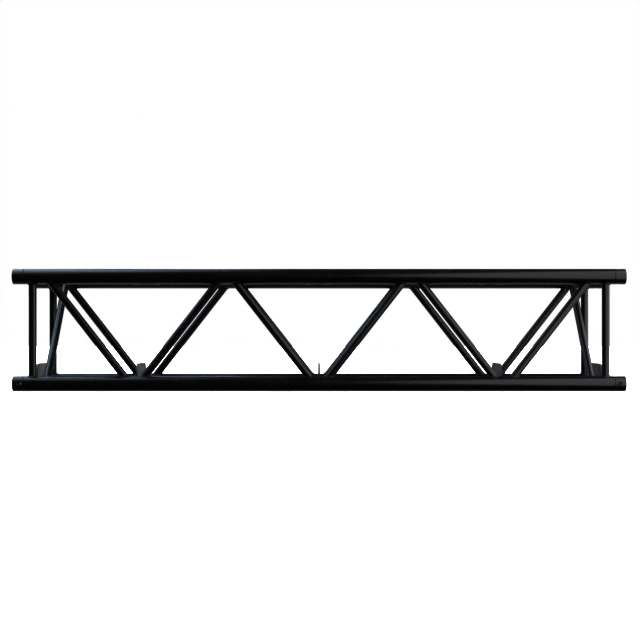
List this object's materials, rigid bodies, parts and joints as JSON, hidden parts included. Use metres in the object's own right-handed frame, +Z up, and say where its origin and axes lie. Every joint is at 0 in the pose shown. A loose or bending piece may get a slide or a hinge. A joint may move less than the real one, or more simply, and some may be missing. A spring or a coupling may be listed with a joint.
{
  "type": "lighting truss section",
  "caption": "Square box truss section of black aluminium tube, with zigzag side bracing, upright cross plates and conical coupler sockets at both ends.",
  "frame": {"origin": "centre of the footprint, on the surface that the two bottom chords rest on", "axes": "+X along the truss, +Z up, -Y towards the front face"},
  "size_m": [2, 0.4, 0.4],
  "materials": {
    "chord": "satin",
    "receiver": "satin",
    "brace": "satin",
    "plate": "satin",
    "weld": "satin"
  },
  "bodies": {
    "root": {"front_bottom_chord": "chord", "front_top_chord": "chord", "rear_bottom_chord": "chord", "rear_top_chord": "chord", "receiver_front_bottom_left": "receiver", "receiver_front_bottom_right": "receiver", "receiver_front_top_left": "receiver", "receiver_front_top_right": "receiver", "receiver_rear_bottom_left": "receiver", "receiver_rear_bottom_right": "receiver", "receiver_rear_top_left": "receiver", "receiver_rear_top_right": "receiver", "front_upright_left": "brace", "front_upright_right": "brace", "rear_upright_left": "brace", "rear_upright_right": "brace", "front_diagonal_1": "brace", "front_diagonal_2": "brace", "front_diagonal_3": "brace", "front_diagonal_4": "brace", "front_diagonal_5": "brace", "front_diagonal_6": "brace", "rear_diagonal_1": "brace", "rear_diagonal_2": "brace", "rear_diagonal_3": "brace", "rear_diagonal_4": "brace", "rear_diagonal_5": "brace", "rear_diagonal_6": "brace", "top_diagonal_1": "brace", "top_diagonal_2": "brace", "top_diagonal_3": "brace", "top_diagonal_4": "brace", "top_diagonal_5": "brace", "top_diagonal_6": "brace", "end_diagonal_left": "brace", "end_diagonal_right": "brace", "top_cross_tube_left": "brace", "top_cross_tube_right": "brace", "bottom_cross_tube_1": "brace", "bottom_cross_tube_2": "brace", "bottom_cross_tube_3": "brace", "bottom_cross_tube_4": "brace", "bottom_cross_tube_5": "brace", "cross_plate_1": "plate", "cross_plate_2": "plate", "cross_plate_3": "plate", "cross_plate_4": "plate", "cross_plate_5": "plate", "front_face_welds": "weld", "rear_face_welds": "weld", "top_face_welds": "weld", "cross_tube_welds": "weld", "end_diagonal_welds": "weld", "cross_plate_welds": "weld", "receiver_welds": "weld"}
  },
  "joints": []
}
